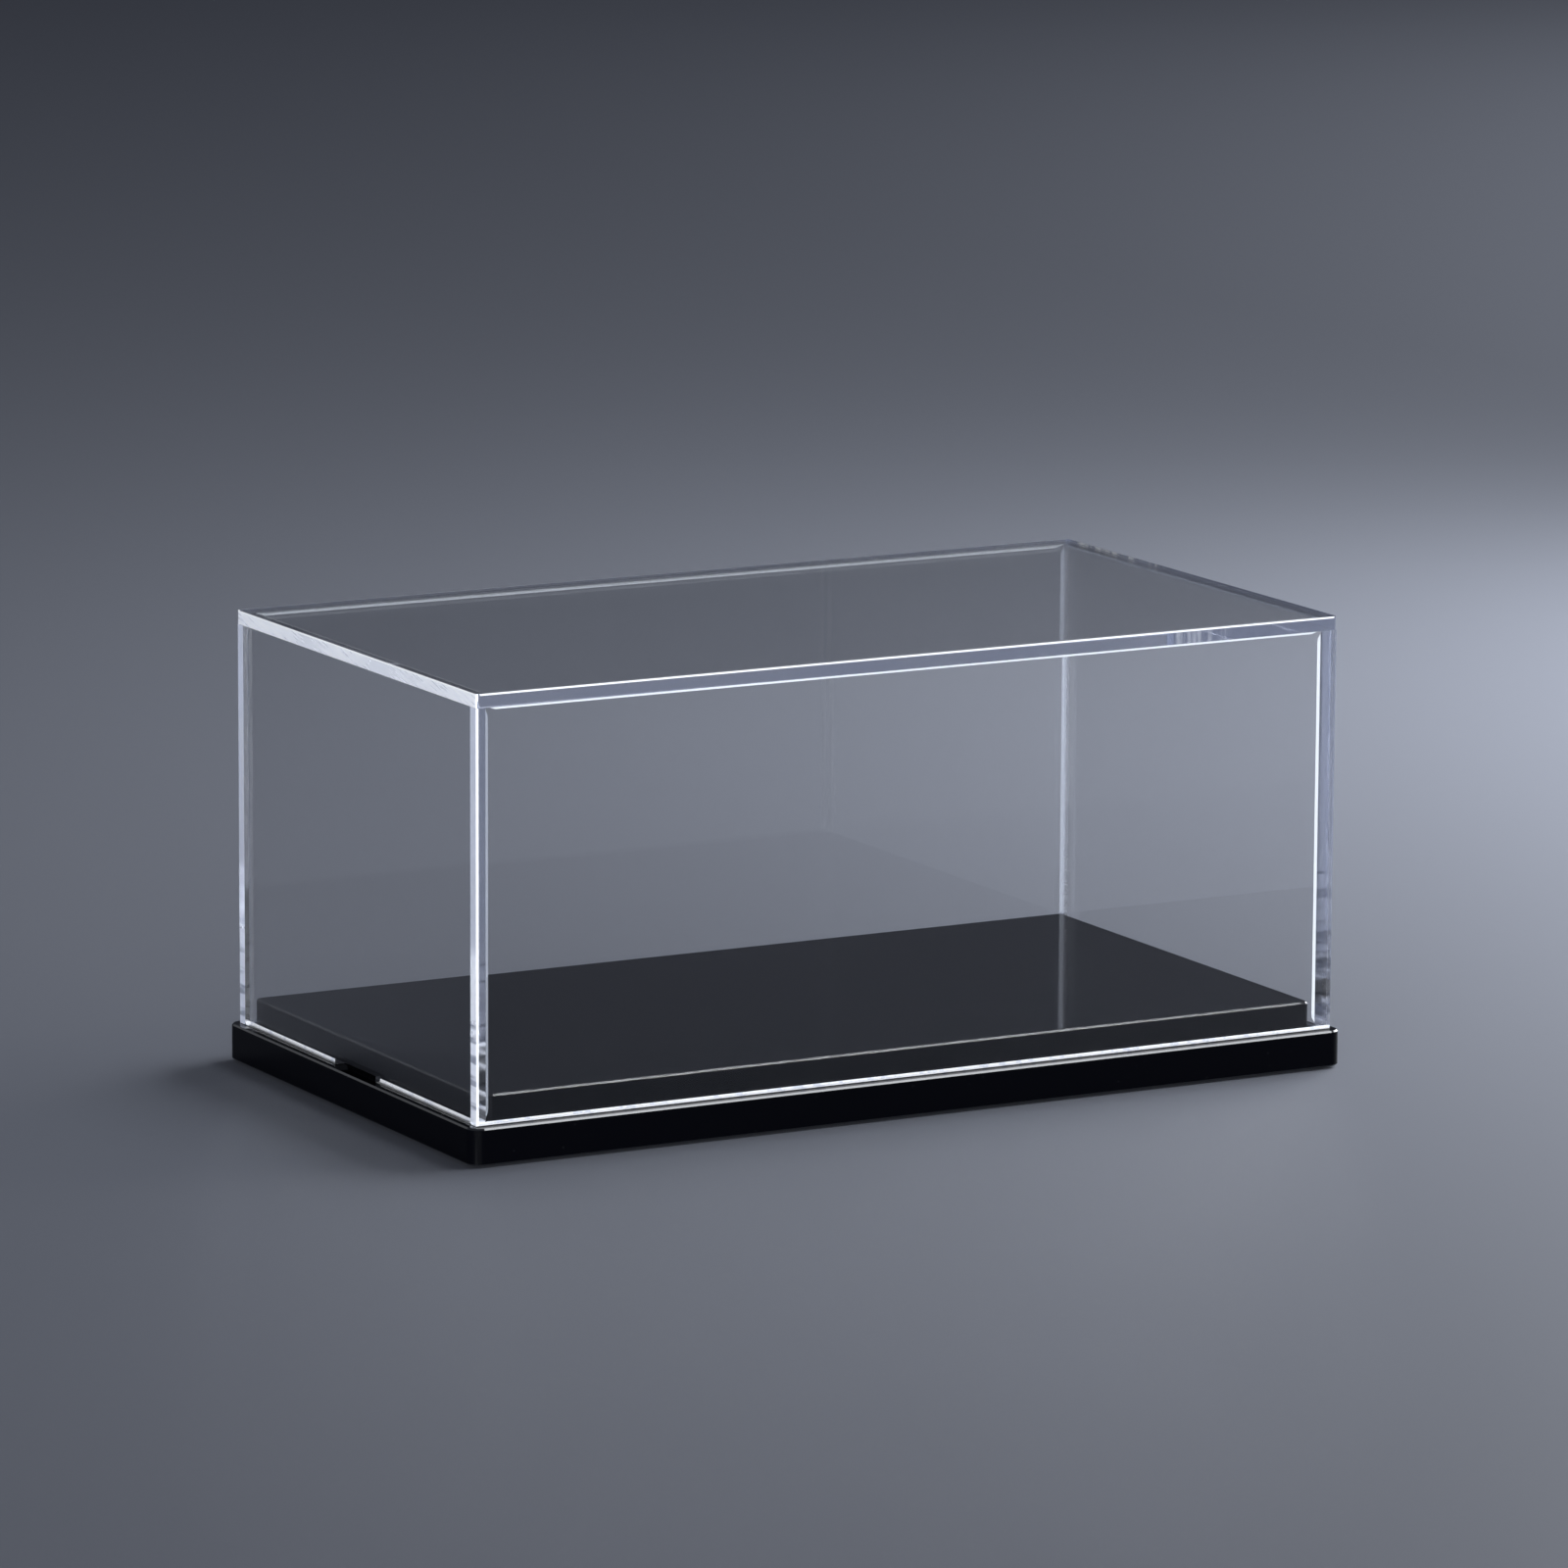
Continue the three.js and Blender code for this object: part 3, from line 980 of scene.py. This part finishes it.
def makeSlab(name, node, look):
    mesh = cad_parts[node].data.copy()
    bm = bmesh.new()
    bm.from_mesh(mesh)
    bmesh.ops.remove_doubles(bm, verts=bm.verts, dist=look["mergeDistance"])
    bmesh.ops.dissolve_limit(bm, angle_limit=math.radians(look["flatAngle"]), verts=bm.verts, edges=bm.edges)
    bm.to_mesh(mesh)
    bm.free()
    mesh.materials.clear()
    for material in slabMaterials:
        mesh.materials.append(material)
    for face in mesh.polygons:
        face.material_index = slabMaterials.index(slabFinish(face, look))
    smoothShade(mesh, look["sharpAngle"])
    piece = bpy.data.objects.new(name, mesh)
    scene.collection.objects.link(piece)
    even = piece.modifiers.new("evenNormals", "WEIGHTED_NORMAL")
    even.keep_sharp = True
    even.weight = look["normalWeight"]
    addPiece(name, plainMesh(name, piece), "base", node)


makeSlab("baseSlab", "base_plate", slabs)
makeSlab("plinthSlab", "plinth", slabs)
print("black slabs made")


# foot pads: round, with rings of grip moulded in the underside
pads = {
    "rings": 4,
    "stepsPerRing": 6,
    "roundSteps": 48,
    "sideSteps": 14,
    "ringDepth": 0.0003,
    "edgeRound": 0.0003,
    "underside": 0.98,  # share of the half thickness beyond which a point is on the face
    "sharpAngle": 40.0,
}
baseCorners = ("front_left", "front_right", "back_right", "back_left")


def makePadTree(look):
    tree, given, result = newTree(
        "gripPad", "GeometryNodeTree",
        [
            ("Centre", "Vector", (0, 0, 0)),
            ("Radius", "Float", 0.005),
            ("Thickness", "Float", 0.002),
            ("Material", "Material", None),
        ],
        [("Geometry", "Geometry")],
    )
    links = tree.links
    disc = setInputs(
        addNode(tree, "GeometryNodeMeshCylinder"), Vertices=look["roundSteps"],
        Side_Segments=look["sideSteps"], Fill_Segments=look["rings"] * look["stepsPerRing"],
    )
    links.new(given["Radius"], disc.inputs["Radius"])
    links.new(given["Thickness"], disc.inputs["Depth"])
    place = addNode(tree, "ShaderNodeSeparateXYZ")
    links.new(addNode(tree, "GeometryNodeInputPosition").outputs[0], place.inputs[0])
    x, y, z = place.outputs
    half = mathNode(tree, "MULTIPLY", given["Thickness"], 0.5)
    # rounded rim: the section narrows towards both faces
    fromFace = mathNode(tree, "SUBTRACT", half, mathNode(tree, "ABSOLUTE", z))
    rise = mathNode(tree, "SUBTRACT", 1.0, rangeNode(tree, fromFace, 0.0, look["edgeRound"]))
    bulge = mathNode(tree, "SQRT", mathNode(tree, "SUBTRACT", 1.0, mathNode(tree, "POWER", rise, 2.0)))
    inward = mathNode(tree, "MULTIPLY", mathNode(tree, "SUBTRACT", 1.0, bulge), look["edgeRound"])
    narrow = mathNode(tree, "SUBTRACT", 1.0, mathNode(tree, "DIVIDE", inward, given["Radius"]))
    # grip rings: waves of the radius, pressed up into the underside
    squared = mathNode(tree, "MULTIPLY_ADD", x, x, mathNode(tree, "POWER", y, 2.0))
    phase = mathNode(tree, "MULTIPLY", mathNode(tree, "SQRT", squared), look["rings"] * 2 * math.pi)
    turns = mathNode(tree, "DIVIDE", phase, given["Radius"])
    wave = mathNode(tree, "SUBTRACT", 1.0, mathNode(tree, "COSINE", turns))
    under = mathNode(tree, "LESS_THAN", z, mathNode(tree, "MULTIPLY", half, -look["underside"]))
    lift = mathNode(tree, "MULTIPLY", mathNode(tree, "MULTIPLY", wave, under), look["ringDepth"] / 2)
    spot = spotNode(
        tree, mathNode(tree, "MULTIPLY", x, narrow), mathNode(tree, "MULTIPLY", y, narrow),
        mathNode(tree, "ADD", z, lift),
    )
    shaped = addNode(tree, "GeometryNodeSetPosition")
    links.new(disc.outputs["Mesh"], shaped.inputs["Geometry"])
    links.new(spot, shaped.inputs["Position"])
    links.new(given["Centre"], shaped.inputs["Offset"])
    dressGrown(tree, shaped.outputs[0], given["Material"], result["Geometry"])
    return tree


def makePads(look):
    tree = makePadTree(look)
    for place in baseCorners:
        node = "foot_pad_" + place
        low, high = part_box(node)
        values = {
            "Centre": (low + high) / 2,
            "Radius": (high.x - low.x) / 2,
            "Thickness": high.z - low.z,
            "Material": siliconeMaterial,
        }
        name = camelName(node)
        addPiece(name, grownMesh(name, tree, values, look["sharpAngle"]), "base", node)


makePads(pads)
print("foot pads made")


# plinth screws keep the solids' shape
for place in baseCorners:
    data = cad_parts["plinth_screw_" + place].data
    data.materials.clear()
    data.materials.append(steelMaterial)
print("screws dressed")


# plain stage
stage = {
    "floorSize": 60.0,
    "floorColour": (0.237, 0.248, 0.286, 1.0),
    "floorRoughness": 0.5,
    "floorSpecular": 0.12,
    "worldColour": (0.054, 0.059, 0.075, 1.0),
    "lampColour": (0.93, 0.96, 1.0),
    "bounces": 160,  # light runs far along the insides of the sheets
    "clearBounces": 40,
}
lamps = {
    "sideSoftbox": {
        "place": (0.65, 0.02, 0.27),
        "aim": (0, 0, 0.02),
        "size": (0.8, 0.4),
        "power": 7.0,
    },
    "overheadSoftbox": {  # shows in the front chamfers
        "place": (0.55, -0.3, 1.0),
        "aim": (0.55, -0.3, 0),
        "size": (0.5, 0.14),
        "power": 1.9,
    },
    "fillSoftbox": {
        "place": (-1.5, -1.95, 0.12),
        "aim": (0, 0, 0.06),
        "size": (2.4, 0.2),
        "power": 92.0,
    },
    "backSoftbox": {  # lights the floor behind
        "place": (1.25, 0.7, 0.4),
        "aim": (0.8, 0.95, 0),
        "size": (1.8, 0.3),
        "power": 6.5,
    },
    "rimSoftbox": {  # shows in the left chamfers
        "place": (-0.3, 1.4, 0.77),
        "aim": (0, 0, 0),
        "size": (0.5, 0.4),
        "power": 0.2,
    },
}


def makeFloor(look):
    half = look["floorSize"] / 2
    mesh = bpy.data.meshes.new("floor")
    corners = [(x, y, 0) for x, y in rectangleOutline(-half, -half, half, half)]
    mesh.from_pydata(corners, [], [(0, 1, 2, 3)])
    floor = bpy.data.objects.new("floor", mesh)
    scene.collection.objects.link(floor)
    material, tree, shader = newMaterial("floorPaper")
    setInputs(shader, Base_Color=look["floorColour"], Roughness=look["floorRoughness"])
    setInputs(shader, Specular_IOR_Level=look["floorSpecular"])
    mesh.materials.append(material)


def makeWorld(look):
    world = bpy.data.worlds.new("studio")
    world.use_nodes = True
    setInputs(world.node_tree.nodes["Background"], Color=look["worldColour"])
    scene.world = world


def makeLamp(name, lamp, colour):
    data = bpy.data.lights.new(name, "AREA")
    data.shape = "RECTANGLE"
    data.size, data.size_y = lamp["size"]
    data.energy = lamp["power"]
    data.color = colour
    light = bpy.data.objects.new(name, data)
    scene.collection.objects.link(light)
    away = Vector(lamp["place"]) - Vector(lamp["aim"])
    turn = away.to_track_quat("Z", "Y").to_matrix().to_4x4()
    light.matrix_world = Matrix.Translation(lamp["place"]) @ turn
    light.visible_camera = False


makeFloor(stage)
makeWorld(stage)
for name, lamp in lamps.items():
    makeLamp(name, lamp, stage["lampColour"])
scene.view_settings.view_transform = "Standard"
scene.cycles.max_bounces = stage["bounces"]
scene.cycles.transmission_bounces = stage["bounces"]
scene.cycles.glossy_bounces = stage["bounces"]
scene.cycles.transparent_max_bounces = stage["clearBounces"]
scene.cycles.caustics_reflective = False
scene.cycles.caustics_refractive = False
print("stage set")
